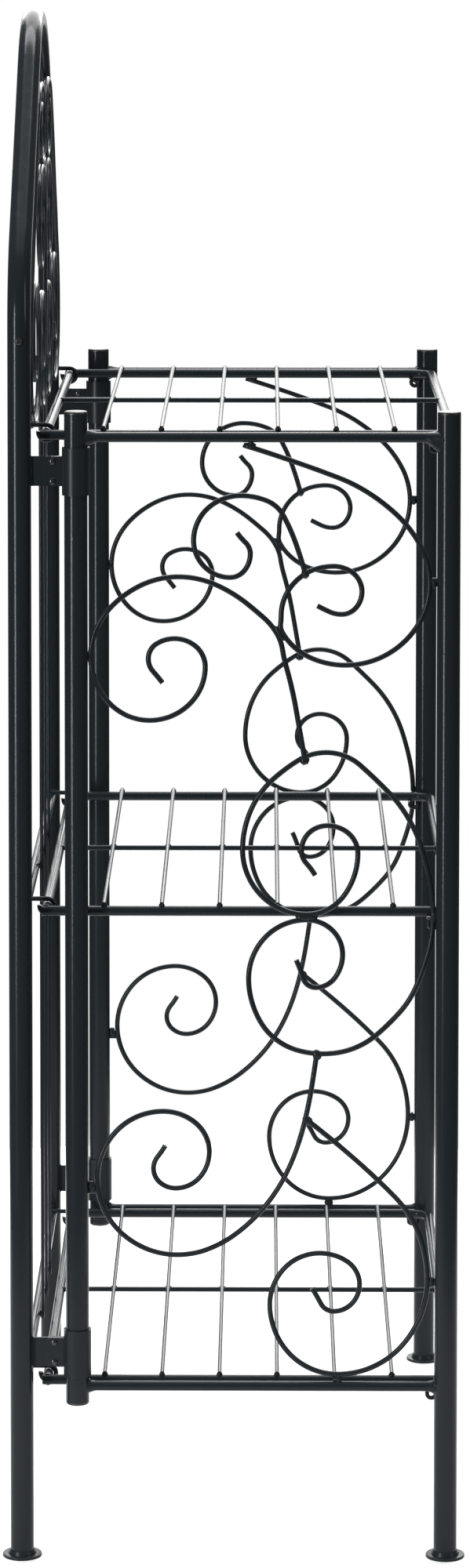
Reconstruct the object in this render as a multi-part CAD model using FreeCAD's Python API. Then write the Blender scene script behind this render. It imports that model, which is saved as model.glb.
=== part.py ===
"""Folding bakers rack: an arched back frame, two scrolled side panels and three wire shelves.

Millimetres, +Z up, X across the width, front towards -Y. The origin is on the floor, in the
middle of the footprint. Every shelf swings up about its rear rod, and each side panel swings
about its rear post, which turns in two straps on the back frame.
"""

import FreeCAD, Part
import math
import os

Vector = FreeCAD.Vector

# ---------------------------------------------------------------- overall sizes
FRAME_WIDTH = 640.0         # between the axes of the two legs
PANEL_DEPTH = 350.0         # between the axes of a panel's two posts
STAND_OFF = 53.0            # from the legs' axes forward to the rear posts' axes
CROSSBAR_SET = 2.8          # crossbars' axes, in front of the legs' axes
BOTTOM_SHELF = 165.0        # floor to the middle of the bottom shelf's rim
SHELF_SPACING = 454.0
ARCH_RISE = 396.0           # from the top crossbar's axis to the outside of the arch
POST_RISE = 22.0            # panel posts' tubes, over the top rail's axis
POST_DROP = 14.5            # rear posts' tubes, under the bottom rail's axis

# ---------------------------------------------------------------- stock
TUBE = 22.0                 # outside diameter of legs, arch and posts
TUBE_WALL = 1.2
ROD = 9.5                   # rails, crossbars and shelf rims
SCROLL_WIRE = 5.0
SHELF_WIRE = 4.0
SPINE_ROD = 5.0             # rod under the middle of each shelf
SPINDLE = 3.2               # upright wires of the back
SPINDLE_SPACING = 80.0
WELD_GAP = 0.1              # left between a wire or rod and the one it is welded to
STUD_REACH = 12.0           # blank length of the studs between scrolls and posts
RUNNING_GAP = 0.3           # left between pieces that move on each other

# ---------------------------------------------------------------- shelves
SHELF_NAMES = ["bottom", "middle", "top"]
SHELF_AXIS_BACK = 29.5      # shelf's rear rod, behind the rear posts' axes
SHELF_NOSE = 4.0            # front rod, in front of the front posts' axes
SHELF_SIDE_GAP = 1.4        # between a shelf's side and the hinge straps it passes
SHELF_CORNER = 18.0         # bend radius of the rim's front corners
SHELF_WIRES = 6
WIRE_OVERHANG = 2.0         # shelf wires past the middle of the side rods
EYE_INSET = 40.0            # hinge eyes, inwards from the legs' axes

# ---------------------------------------------------------------- arch
CROWN_BEND = 157.0          # bend radius at the top of the arch
SHOULDER_BEND = 120.0       # bend radius where the arch meets the legs
SPRING_RISE = 98.0          # from the top crossbar's axis to the start of the shoulders
ARCH_TAIL = 18.0            # straight length under each shoulder
FLANK_TOUCH = 0.78          # where a scroll lies against the flank: share of the way up it
SPIGOT_LENGTH = 22.0        # swaged top of each leg, inside the arch
SPIGOT_GAP = 0.15
ARCH_SCREW = 4.0
ARCH_SCREW_HEAD = 7.0
ARCH_SCREW_DOME = 1.8
ARCH_SCREW_REACH = 5.0      # screw's length under its head
ARCH_SCREW_RISE = 11.0      # screw's height over the end of the arch

# ---------------------------------------------------------------- feet and caps
FOOT = 37.0
FOOT_PLATE = 2.4
FOOT_COLLAR = 3.2           # height of the collar round the tube
COLLAR_BASE = 2.4           # collar's width where it meets the plate
COLLAR_LIP = 1.0            # collar's width at its top
CAP_HEAD = 2.6              # height of a cap over the end of its tube
CAP_ROUND = 1.7             # rounding of its edge
CAP_PLUG = 14.0
FIT_GAP = 0.1               # left round plugs, rivets and screws

# ---------------------------------------------------------------- panel hinges
STRAP_SHEET = 1.8
STRAP_HEIGHT = 45.0
STRAP_TAIL_HEIGHT = 28.0
STRAP_TAIL_REACH = 31.0     # strap's tails, behind the rear post's axis
STRAP_RISE = 33.0           # lower straps' middles, over the bottom rail's axis
STRAP_DROP = 32.0           # upper straps' middles, under the top rail's axis
STRAP_CORNER = 4.5          # rounding of the tails' far corners
LUG_SHEET = 2.5
LUG_CLEARANCE = 0.7         # between the lug and the post in the strap
RIVET = 4.0
RIVET_HEAD = 7.0
RIVET_DOME = 1.6
RIVET_BACK = 22.0           # rivets, behind the rear post's axis
RIVET_SPACING = 19.0

# ---------------------------------------------------------------- shelf rests and eyes
REST_WIRE = 4.0
REST_CURL = 4.0             # bend radius of the rest's curl
REST_ELBOW = 3.0            # bend radius where the rest turns inwards
REST_STEM = 15.0            # stem on the post, above the curl
REST_TIP = 5.0              # rest's tip, past the side rod
EYE_WIRE = 4.5
EYE_TURN = 280.0            # degrees of each hinge eye round its rod

# ---------------------------------------------------------------- worked out
tube_radius = TUBE / 2
rod_radius = ROD / 2
wire_radius = SCROLL_WIRE / 2
half_width = FRAME_WIDTH / 2
front_post_y = -(PANEL_DEPTH + STAND_OFF) / 2
rear_post_y = front_post_y + PANEL_DEPTH
leg_y = rear_post_y + STAND_OFF
crossbar_y = leg_y - CROSSBAR_SET
shelf_levels = [BOTTOM_SHELF + SHELF_SPACING * n for n in range(len(SHELF_NAMES))]
top_level = shelf_levels[-1]
arch_top = top_level + ARCH_RISE - tube_radius
post_top = top_level + POST_RISE
strap_levels = [shelf_levels[0] + STRAP_RISE, top_level - STRAP_DROP]
strap_radius = tube_radius + RUNNING_GAP + STRAP_SHEET
shelf_half = half_width - strap_radius - SHELF_SIDE_GAP - rod_radius
shelf_rear_y = rear_post_y + SHELF_AXIS_BACK
shelf_front_y = front_post_y - SHELF_NOSE
scroll_touch = tube_radius + wire_radius + WELD_GAP
rail_touch = rod_radius + wire_radius + WELD_GAP
scroll_plane = CROSSBAR_SET + rail_touch    # arch's scrolls, in front of the legs' axes
spindle_y = crossbar_y - rod_radius - SPINDLE / 2 - WELD_GAP

EAST = Vector(1, 0, 0)
FORWARD = Vector(0, -1, 0)
UP = Vector(0, 0, 1)
FLAT_TURN = 1e-9            # under this the two ends of a bend point the same way


# ---------------------------------------------------------------- shapes
def cylinder(start, end, diameter):
    """Round bar from start to end."""
    run = end - start
    return Part.makeCylinder(diameter / 2, run.Length, start, run)


def tube(start, end):
    """Length of the frame's tube from start to end."""
    return cylinder(start, end, TUBE).cut(cylinder(start, end, TUBE - 2 * TUBE_WALL))


def largest(shape):
    """The largest solid of a cut: what a coped end leaves beyond its seat is scrap."""
    return max(shape.Solids, key=lambda solid: solid.Volume)


def coped(piece, *seats):
    """Piece with its ends cut to fit against the round bars it is welded to."""
    for seat in seats:
        piece = largest(piece.cut(seat))
    return piece


def mirrored(shape):
    """The same piece on the other side of the rack."""
    return shape.mirror(Vector(0, 0, 0), EAST)


def stand(shape, origin, across):
    """Shape drawn flat, stood upright: its X follows across and its Y points up."""
    out = across.cross(UP)
    place = FreeCAD.Matrix(across.x, UP.x, out.x, origin.x,
                           across.y, UP.y, out.y, origin.y,
                           across.z, UP.z, out.z, origin.z,
                           0, 0, 0, 1)
    placed = shape.copy()
    placed.Placement = FreeCAD.Placement(place)
    return placed


def heading(degrees):
    """Direction in the flat drawing: 0 along X, 90 along Y."""
    angle = math.radians(degrees)
    return Vector(math.cos(angle), math.sin(angle), 0)


def arc_middle(start, along, end):
    """Middle of the arc that leaves start in the direction along and ends at end."""
    chord = end - start
    bulge = along - chord * (along.dot(chord) / chord.dot(chord))
    rise = chord.Length / 2 * math.tan(along.getAngle(chord) / 2)
    return start + chord * 0.5 + bulge.normalize() * rise


def bend(start, leave, end, arrive):
    """Two arcs in one sweep, or a straight, from start to end in the given directions."""
    chord = end - start
    turn = 1 - leave.dot(arrive)
    pull = chord.dot(leave + arrive)
    if turn < FLAT_TURN:
        return [Part.LineSegment(start, end).toShape()]
    reach = (math.sqrt(pull ** 2 + 2 * turn * chord.dot(chord)) - pull) / (2 * turn)
    join = (start + leave * reach + end - arrive * reach) * 0.5
    first = Part.Arc(start, arc_middle(start, leave, join), join)
    second = Part.Arc(join, arc_middle(end, arrive * -1, join), end)
    return [first.toShape(), second.toShape()]


def swept(edges, start, leave, diameter):
    """Round wire along the given edges."""
    profile = Part.Face(Part.Wire([Part.makeCircle(diameter / 2, start, leave)]))
    return Part.Wire(edges).makePipe(profile)


def turn_at(corner, clear, proportion, across, up, degrees, aside):
    """Spot and direction of one turn of a scroll, drawn in a box with the given corner and size.

    The turn is given as shares of the box across and up, a heading, and steps of one wire to the
    right of it. Headings lean with a box of another proportion of height to width.
    """
    way = heading(degrees)
    way = Vector(way.x, way.y * clear.y / clear.x / proportion, 0).normalize()
    spot = corner + Vector(across * clear.x, up * clear.y, 0)
    right = Vector(way.y, -way.x, 0)
    return spot + right * aside * (SCROLL_WIRE + WELD_GAP), way


def scroll(turns, lead=0.0, diameter=SCROLL_WIRE):
    """Scrolled wire through its turns, each a spot and a direction in the flat drawing.

    A lead is a straight run before the first turn, for a wire that is cut to fit another.
    """
    first, way = turns[0]
    start = first - way * lead
    edges = [Part.LineSegment(start, first).toShape()] if lead else []
    for n in range(len(turns) - 1):
        edges += bend(*turns[n], *turns[n + 1])
    return swept(edges, start, way, diameter)


def save(name, shapes):
    """One STEP file per node; pieces of one node stay separate solids."""
    shapes = shapes if isinstance(shapes, list) else [shapes]
    whole = shapes[0] if len(shapes) == 1 else Part.makeCompound(shapes)
    whole.exportStep(os.path.join("parts", name + ".step"))
    print(name, len(whole.Solids), round(whole.Volume / 1000, 2), "cm3", whole.isValid())


# ---------------------------------------------------------------- back frame
def flank_out():
    """Direction out of the right flank, a straight that runs on from the shoulder and the crown."""
    run = half_width - SHOULDER_BEND
    drop = arch_top - CROWN_BEND - top_level - SPRING_RISE
    tighter = (CROWN_BEND - SHOULDER_BEND) / math.hypot(run, drop)
    slope = math.atan2(drop, run) + math.asin(tighter)
    return heading(90 - math.degrees(slope))


def arch_path():
    """Ends of the arch's stretches in the flat drawing, right half from the tail to the top."""
    spring = Vector(half_width, top_level + SPRING_RISE, 0)
    shoulder = spring - Vector(SHOULDER_BEND, 0, 0)
    crown = Vector(0, arch_top - CROWN_BEND, 0)
    flank_low = shoulder + flank_out() * SHOULDER_BEND
    flank_top = crown + flank_out() * CROWN_BEND
    return spring - Vector(0, ARCH_TAIL, 0), spring, flank_low, flank_top


def arch_edges():
    """Edges of the arch's centre line, from the left tail over the top to the right one."""
    tail, spring, flank_low, flank_top = arch_path()
    left = [Vector(-p.x, p.y, 0) for p in arch_path()]
    crown = Vector(0, arch_top, 0)
    return [
        Part.LineSegment(left[0], left[1]).toShape(),
        Part.Arc(left[1], arc_middle(left[1], heading(90), left[2]), left[2]).toShape(),
        Part.LineSegment(left[2], left[3]).toShape(),
        Part.Arc(left[3], crown, flank_top).toShape(),
        Part.LineSegment(flank_top, flank_low).toShape(),
        Part.Arc(flank_low, arc_middle(spring, heading(90), flank_low), spring).toShape(),
        Part.LineSegment(spring, tail).toShape(),
    ], left[0]


leg_top = arch_path()[0].y


def arch_piece():
    """Bent tube of the arch."""
    edges, start = arch_edges()
    outside = swept(edges, start, heading(90), TUBE)
    bore = swept(edges, start, heading(90), TUBE - 2 * TUBE_WALL)
    arch = stand(outside.cut(bore), Vector(0, leg_y, 0), EAST)
    for x in (-half_width, half_width):
        arch = arch.cut(arch_screw_hole(x))
    return arch


def leg_piece(x):
    """Leg with a swaged spigot that enters the arch."""
    foot_top = Vector(x, leg_y, FOOT_PLATE)
    seam = Vector(x, leg_y, leg_top)
    spigot_end = seam + UP * SPIGOT_LENGTH
    spigot = TUBE - 2 * TUBE_WALL - 2 * SPIGOT_GAP
    outside = cylinder(foot_top, seam, TUBE).fuse(cylinder(seam, spigot_end, spigot))
    lower_bore = cylinder(foot_top, seam - UP * TUBE_WALL, TUBE - 2 * TUBE_WALL)
    upper_bore = cylinder(foot_top, spigot_end, spigot - 2 * TUBE_WALL)
    return outside.cut(lower_bore).cut(upper_bore).cut(arch_screw_hole(x))


def outer_side(x):
    """Direction away from the middle of the rack."""
    return EAST * math.copysign(1, x)


def arch_screw_hole(x):
    """Hole through the outer wall of the arch and of the spigot in it."""
    axis = Vector(x, leg_y, leg_top + ARCH_SCREW_RISE)
    return cylinder(axis, axis + outer_side(x) * TUBE, ARCH_SCREW + 2 * FIT_GAP)


def arch_screw(x):
    """Screw through the arch and the leg's spigot, from the outer side."""
    out = outer_side(x)
    skin = Vector(x, leg_y, leg_top + ARCH_SCREW_RISE) + out * tube_radius
    shank = cylinder(skin - out * ARCH_SCREW_REACH, skin, ARCH_SCREW)
    return shank.fuse(dome(skin, out, ARCH_SCREW_HEAD, ARCH_SCREW_DOME)).removeSplitter()


def dome(seat, out, width, rise):
    """Domed head of the given width, standing out of its seat."""
    radius = (width ** 2 / 4 + rise ** 2) / (2 * rise)
    ball = Part.makeSphere(radius, seat - out * (radius - rise))
    return ball.common(Part.makeCylinder(width, width, seat, out))


def foot_piece(x, y):
    """Flanged foot: a thin plate with a collar round the tube."""
    plate = Part.makeCylinder(FOOT / 2, FOOT_PLATE, Vector(x, y, 0))
    rim = [edge for edge in plate.Edges if edge.Closed and edge.CenterOfMass.z > FOOT_PLATE / 2]
    plate = plate.makeFillet(FOOT_PLATE / 3, rim)
    base, lip = tube_radius + COLLAR_BASE, tube_radius + COLLAR_LIP
    collar = Part.makeCone(base, lip, FOOT_COLLAR, Vector(x, y, FOOT_PLATE))
    socket = Part.makeCylinder(tube_radius, FOOT_COLLAR, Vector(x, y, FOOT_PLATE))
    return plate.fuse(collar.cut(socket)).removeSplitter()


def arch_inset():
    """How far a scroll's wire lies inside the arch's centre line where the two touch."""
    return math.sqrt(scroll_touch ** 2 - scroll_plane ** 2)


def back_turn(across, up, way, aside=0.0):
    """Turn of a scroll between the middle of the arch and its right leg."""
    corner = Vector(wire_radius + WELD_GAP / 2, top_level, 0)
    clear = Vector(half_width - arch_inset(), arch_top, 0) - corner
    return turn_at(corner, clear, ARCH_PROPORTION, across, up, way, aside)


def flank_turn():
    """Turn where the outer scroll lies against the inside of the flank."""
    flank_low, flank_top = arch_path()[2:]
    climb = flank_top - flank_low
    spot = flank_low + climb * FLANK_TOUCH - flank_out() * arch_inset()
    return spot, climb.normalize()


# Turns of the arch's scrolls, right half: share of the half width, share of the height from the
# top crossbar to the crown, heading in degrees, and steps of one wire to the right of it.
ARCH_PROPORTION = 1.248         # height over half width that the headings are drawn for
ARCH_MEETING = (0.4125, 0.172)
CROWN_MEETING = (0.190, 0.632)
OUTER_ARCH_TURNS = [
    (0.613, 0.167, 290), (0.704, 0.115, 360), (0.815, 0.223, 450), (0.645, 0.349, 540),
    ARCH_MEETING + (-90, -0.5), (0.694, 0.006, 0), (1.0, 0.180, 90), (0.908, 0.358, 134),
]
OUTER_ARCH_CURL = [             # from where the outer scroll leaves the flank
    (0.215, 0.835, 180), (0.045, 0.733, 270), CROWN_MEETING + (0, -0.5), (0.330, 0.725, 90),
    (0.245, 0.785, 170),
]
INNER_ARCH_TURNS = [
    (0.269, 0.146, 230), (0.194, 0.108, 180), (0.090, 0.197, 90), (0.204, 0.300, 0),
    ARCH_MEETING + (-90, 0.5), (0.188, 0.006, 180), (0.0, 0.200, 90), (0.0, 0.470, 90),
    CROWN_MEETING + (0, 0.5), (0.405, 0.490, -90), (0.265, 0.372, 180), (0.155, 0.460, 90),
    (0.212, 0.520, 45),
]


def arch_scroll_pair(turns):
    """One scroll of the arch and its mirror image."""
    flat = scroll(turns)
    right = stand(flat, Vector(0, leg_y - scroll_plane, 0), EAST)
    return [right, mirrored(right)]


def hinge_lug(x, z):
    """Plate welded to the leg, gripped by the strap's tails."""
    back = leg_y - tube_radius + LUG_SHEET
    front = rear_post_y + tube_radius + LUG_CLEARANCE
    plate = Part.makeBox(LUG_SHEET, back - front, STRAP_TAIL_HEIGHT,
                         Vector(x - LUG_SHEET / 2, front, z - STRAP_TAIL_HEIGHT / 2))
    for hole in rivet_holes(x, z):
        plate = plate.cut(hole)
    leg = cylinder(Vector(x, leg_y, z - STRAP_HEIGHT), Vector(x, leg_y, z + STRAP_HEIGHT), TUBE)
    return coped(plate, leg)


def rivet_axes(x, z):
    """Middles of a hinge's two rivets."""
    y = rear_post_y + RIVET_BACK
    return [Vector(x, y, z - RIVET_SPACING / 2), Vector(x, y, z + RIVET_SPACING / 2)]


def rivet_holes(x, z):
    """Holes for a hinge's rivets, through the lug and both tails."""
    reach = EAST * (LUG_SHEET + 2 * STRAP_SHEET)
    return [cylinder(middle - reach, middle + reach, RIVET + 2 * FIT_GAP) for middle in rivet_axes(x, z)]


def hinge_strap(x, z):
    """Sheet strap round the rear post, with two tails riveted to the lug."""
    axis = Vector(x, rear_post_y, z - STRAP_HEIGHT / 2)
    ring = Part.makeCylinder(strap_radius, STRAP_HEIGHT, axis)
    tail_width = LUG_SHEET + 2 * STRAP_SHEET
    tails = Part.makeBox(tail_width, STRAP_TAIL_REACH, STRAP_TAIL_HEIGHT,
                         Vector(x - tail_width / 2, rear_post_y, z - STRAP_TAIL_HEIGHT / 2))
    far = rear_post_y + STRAP_TAIL_REACH
    corners = [edge for edge in tails.Edges
               if edge.CenterOfMass.y > far - FIT_GAP and edge.Length < STRAP_TAIL_HEIGHT - FIT_GAP]
    tails = tails.makeFillet(STRAP_CORNER, corners)
    strap = ring.fuse(tails).cut(Part.makeCylinder(tube_radius + RUNNING_GAP, STRAP_HEIGHT, axis))
    slot = Part.makeBox(LUG_SHEET, STRAP_TAIL_REACH, STRAP_HEIGHT, axis - EAST * (LUG_SHEET / 2))
    strap = strap.cut(slot)
    for hole in rivet_holes(x, z):
        strap = strap.cut(hole)
    return strap.removeSplitter()


def rivet(middle):
    """Rivet through the strap's tails and the lug, domed at both ends."""
    reach = LUG_SHEET / 2 + STRAP_SHEET
    body = cylinder(middle - EAST * reach, middle + EAST * reach, RIVET)
    for out in (EAST, EAST * -1):
        body = body.fuse(dome(middle + out * reach, out, RIVET_HEAD, RIVET_DOME))
    return body.removeSplitter()


def hinge_eye(x, z):
    """Wire eye on a crossbar, closed round a shelf's rear rod."""
    radius = rod_radius + RUNNING_GAP + EYE_WIRE / 2
    middle = Vector(0, 0, 0)
    start = Vector(shelf_rear_y - crossbar_y, radius, 0)
    top = middle + Vector(0, radius, 0)
    half_way = middle + heading(90 - EYE_TURN / 2) * radius
    end = middle + heading(90 - EYE_TURN) * radius
    edges = [Part.LineSegment(start, top).toShape(), Part.Arc(top, half_way, end).toShape()]
    flat = swept(edges, start, heading(0), EYE_WIRE)
    return stand(flat, Vector(x, shelf_rear_y, z), FORWARD)


def crossbar(z, legs):
    """Rod between the legs at a shelf's level."""
    bar = cylinder(Vector(-half_width, crossbar_y, z), Vector(half_width, crossbar_y, z), ROD)
    return coped(bar, *legs)


def spindles():
    """Upright wires on the front of the crossbars, ending under the scrolls of the arch."""
    low = shelf_levels[0] - rod_radius
    high = top_level - wire_radius
    return [cylinder(Vector(x, spindle_y, low), Vector(x, spindle_y, high), SPINDLE)
            for x in (-SPINDLE_SPACING, 0, SPINDLE_SPACING)]


def build_back_frame():
    """Legs, arch, crossbars, scrolls and the fixed halves of all hinges."""
    legs = [leg_piece(-half_width), leg_piece(half_width)]
    save("left_back_leg", legs[0])
    save("right_back_leg", legs[1])
    save("back_arch", arch_piece())
    save("arch_screws", [arch_screw(-half_width), arch_screw(half_width)])
    save("back_feet", [foot_piece(-half_width, leg_y), foot_piece(half_width, leg_y)])
    feet = [Vector(x, leg_y, 0) for x in (-half_width, half_width)]
    solid_legs = [cylinder(foot, foot + UP * leg_top, TUBE) for foot in feet]
    for name, z in zip(SHELF_NAMES, shelf_levels):
        save(name + "_crossbar", crossbar(z, solid_legs))
    eye_x = half_width - EYE_INSET
    save("hinge_eyes", [hinge_eye(x, z) for z in shelf_levels for x in (-eye_x, eye_x)])
    save("back_spindles", spindles())
    outer_turns = [back_turn(*turn) for turn in OUTER_ARCH_TURNS] + [flank_turn()]
    outer_turns += [back_turn(*turn) for turn in OUTER_ARCH_CURL]
    save("outer_arch_scrolls", arch_scroll_pair(outer_turns))
    save("inner_arch_scrolls", arch_scroll_pair([back_turn(*turn) for turn in INNER_ARCH_TURNS]))
    save("hinge_lugs", [hinge_lug(x, z) for x in (-half_width, half_width) for z in strap_levels])
    for side, x in (("left", -half_width), ("right", half_width)):
        save(side + "_hinge_straps", [hinge_strap(x, z) for z in strap_levels])
    save("hinge_rivets", [rivet(spot) for x in (-half_width, half_width) for z in strap_levels
                          for spot in rivet_axes(x, z)])


# ---------------------------------------------------------------- side panels
def panel_turn(across, up, way, aside=0.0):
    """Turn of a scroll between a panel's posts and rails."""
    corner = Vector(scroll_touch, shelf_levels[0] + rail_touch, 0)
    clear = Vector(PANEL_DEPTH - scroll_touch, top_level - rail_touch, 0) - corner
    return turn_at(corner, clear, PANEL_PROPORTION, across, up, way, aside)


# Turns of a panel's scrolls, each from its outer end to the tip of its eye: share of the clear
# width from the rear post to the front one, share of the clear height from the bottom rail to the
# top one, heading in degrees (0 forwards, 90 up), and steps of one wire to the right of it.
PANEL_PROPORTION = 2.767        # clear height over clear width that the headings are drawn for
SHOULDER = (0.551, 0.8007)      # where the two upper side scrolls lie against each other
KNEE = (0.625, 0.8639)          # where the top scroll ends on the upper front one
CROSSING = (0.623, 0.6696)      # where the upper rear scroll ends on the waist scroll
WAIST = (0.630, 0.4979)         # where the two waist scrolls touch
STEM = (0.661, 0.3515)          # where the lower rear scroll starts
BRANCH = (0.628, 0.2812)        # where the lower front scroll starts
PANEL_SCROLLS = {
    "upper_front_scroll": [
        (0.445, 1.0, -17), (0.719, 0.966, -21), (0.889, 0.927, -43), (0.987, 0.854, -90),
        (0.742, 0.767, -180), SHOULDER + (119, 0.5), (0.555, 0.820, 90), KNEE + (32,),
        (0.708, 0.872, 0), (0.790, 0.845, -90), (0.731, 0.821, 180), (0.660, 0.830, 152),
    ],
    "upper_rear_scroll": [
        CROSSING + (100,), (0.569, 0.7665, 106), SHOULDER + (119, -0.5), (0.456, 0.832, 141),
        (0.256, 0.8606, 180), (0.055, 0.8265, 228), (0.0, 0.776, 270), (0.172, 0.708, 0),
        (0.334, 0.765, 90), (0.245, 0.795, 180), (0.168, 0.7735, 270), (0.209, 0.748, 307),
    ],
    "top_scroll": [
        KNEE + (105,), (0.562, 0.925, 118), (0.437, 0.9466, 180), (0.300, 0.899, 270),
        (0.406, 0.860, 0), (0.465, 0.885, 90), (0.426, 0.9075, 125),
    ],
    "upper_waist_scroll": [
        (1.0, 0.503, 90), (0.964, 0.574, 108), (0.868, 0.632, 134), (0.687, 0.674, 180),
        (0.534, 0.646, 222), (0.443, 0.570, 270), WAIST + (0, -0.5),
        (0.780, 0.566, 90), (0.691, 0.596, 180), (0.615, 0.569, 270), (0.655, 0.543, 300),
    ],
    "lower_waist_scroll": [
        (1.0, 0.497, -90), (0.953, 0.425, -112), (0.837, 0.372, -139), (0.600, 0.3555, 163),
        (0.461, 0.432, 90), WAIST + (0, 0.5), (0.736, 0.458, -90), (0.657, 0.4225, -180),
        (0.600, 0.452, -245),
    ],
    "lower_rear_scroll": [
        STEM + (-98,), BRANCH + (-103,), (0.572, 0.222, -116), (0.429, 0.158, -142),
        (0.252, 0.134, 180), (0.017, 0.216, 90), (0.211, 0.289, 0), (0.346, 0.245, -90),
        (0.247, 0.206, 180), (0.182, 0.227, 90), (0.217, 0.252, 60),
    ],
    "lower_front_scroll": [
        BRANCH + (-38,), (0.891, 0.197, -46), (0.987, 0.107, -90), (0.724, 0.0047, 180),
        (0.524, 0.080, 90), (0.671, 0.136, 0), (0.788, 0.102, -90), (0.712, 0.073, 180),
        (0.648, 0.098, 122),
    ],
}
# Short studs that join a scroll to a post or rail: shares across and up, and the stud's heading.
WELD_STUDS = [
    (0.467, 0.994, 90), (0.987, 0.857, 0), (0.017, 0.203, 180), (0.987, 0.105, 0), (0.724, 0.0047, 270),
]
# A scroll that starts on another one, or on the stem of one, is cut to fit against it.
SCROLL_SEATS = {
    "upper_rear_scroll": "upper_waist_scroll",
    "top_scroll": "upper_front_scroll",
    "lower_rear_scroll": "lower_waist_scroll",
    "lower_front_scroll": "lower_rear_scroll",
}


def cap_piece(end, way):
    """Flat cap plugged into the end of a tube; way points out of the tube."""
    plug = cylinder(end - way * CAP_PLUG, end, TUBE - 2 * TUBE_WALL - 2 * FIT_GAP)
    top = end + way * CAP_HEAD
    head = cylinder(end, top, TUBE)
    rim = [edge for edge in head.Edges if edge.Closed and edge.CenterOfMass.distanceToPoint(top) < FIT_GAP]
    return plug.fuse(head.makeFillet(CAP_ROUND, rim)).removeSplitter()


def shelf_rest(z):
    """Wire rest on the front post: a curl whose end turns inwards under a shelf's side rod."""
    away = (tube_radius + REST_WIRE / 2 + WELD_GAP) * math.sqrt(0.5)
    x = -half_width + away
    stem_y = front_post_y + away
    peg_z = z - rod_radius - REST_WIRE / 2 - RUNNING_GAP
    curl_z = peg_z - REST_ELBOW
    peg_y = stem_y + 2 * REST_CURL
    inner_x = -shelf_half + rod_radius + REST_TIP
    stem_top = Vector(x, stem_y, curl_z + REST_STEM)
    curl_start = Vector(x, stem_y, curl_z)
    curl_low = Vector(x, stem_y + REST_CURL, curl_z - REST_CURL)
    curl_end = Vector(x, peg_y, curl_z)
    elbow = Vector(x + REST_ELBOW * (1 - math.sqrt(0.5)), peg_y, curl_z + REST_ELBOW * math.sqrt(0.5))
    peg_start = Vector(x + REST_ELBOW, peg_y, peg_z)
    edges = [
        Part.LineSegment(stem_top, curl_start).toShape(),
        Part.Arc(curl_start, curl_low, curl_end).toShape(),
        Part.Arc(curl_end, elbow, peg_start).toShape(),
        Part.LineSegment(peg_start, Vector(inner_x, peg_y, peg_z)).toShape(),
    ]
    return swept(edges, stem_top, UP * -1, REST_WIRE)


def flat_panel():
    """Rails, scrolls and studs of a panel in the flat drawing, X forwards from the rear post."""
    posts = [cylinder(Vector(x, 0, 0), Vector(x, post_top, 0), TUBE) for x in (0, PANEL_DEPTH)]
    levels = {"bottom_rail": shelf_levels[0], "top_rail": top_level}
    rails = {name: cylinder(Vector(0, y, 0), Vector(PANEL_DEPTH, y, 0), ROD) for name, y in levels.items()}
    rails = {name: coped(rail, *posts) for name, rail in rails.items()}
    scrolls, seats = {}, {}
    for name, shares in PANEL_SCROLLS.items():
        turns = [panel_turn(*turn) for turn in shares]
        scrolls[name] = scroll(turns, SCROLL_WIRE if name in SCROLL_SEATS else 0.0)
        seats[name] = scroll(turns, diameter=SCROLL_WIRE + 2 * WELD_GAP)
    for name, seat in SCROLL_SEATS.items():
        scrolls[name] = coped(scrolls[name], seats[seat])
    bars = posts + list(rails.values()) + list(seats.values())
    studs = []
    for turn in WELD_STUDS:
        start, way = panel_turn(*turn)
        stud = cylinder(start, start + way * STUD_REACH, SCROLL_WIRE)
        studs.append(coped(stud, *[bar for bar in bars if bar.distToShape(stud)[0] < WELD_GAP]))
    return {**rails, **scrolls, "weld_studs": studs}


def left_panel():
    """All pieces of the left side panel, by name."""
    rear_low = Vector(-half_width, rear_post_y, shelf_levels[0] - POST_DROP)
    rear_top = Vector(-half_width, rear_post_y, post_top)
    front_low = Vector(-half_width, front_post_y, FOOT_PLATE)
    front_top = Vector(-half_width, front_post_y, post_top)
    pieces = {
        "rear_post": tube(rear_low, rear_top),
        "front_post": tube(front_low, front_top),
        "post_caps": [cap_piece(rear_top, UP), cap_piece(rear_low, UP * -1), cap_piece(front_top, UP)],
        "front_foot": foot_piece(-half_width, front_post_y),
        "shelf_rests": [shelf_rest(z) for z in shelf_levels],
    }
    for name, piece in flat_panel().items():
        group = piece if isinstance(piece, list) else [piece]
        pieces[name] = [stand(one, Vector(-half_width, rear_post_y, 0), FORWARD) for one in group]
    return pieces


def build_panels():
    """Left panel and its mirror image on the right."""
    for name, piece in left_panel().items():
        group = piece if isinstance(piece, list) else [piece]
        save("left_" + name, group)
        save("right_" + name, [mirrored(one) for one in group])


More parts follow.
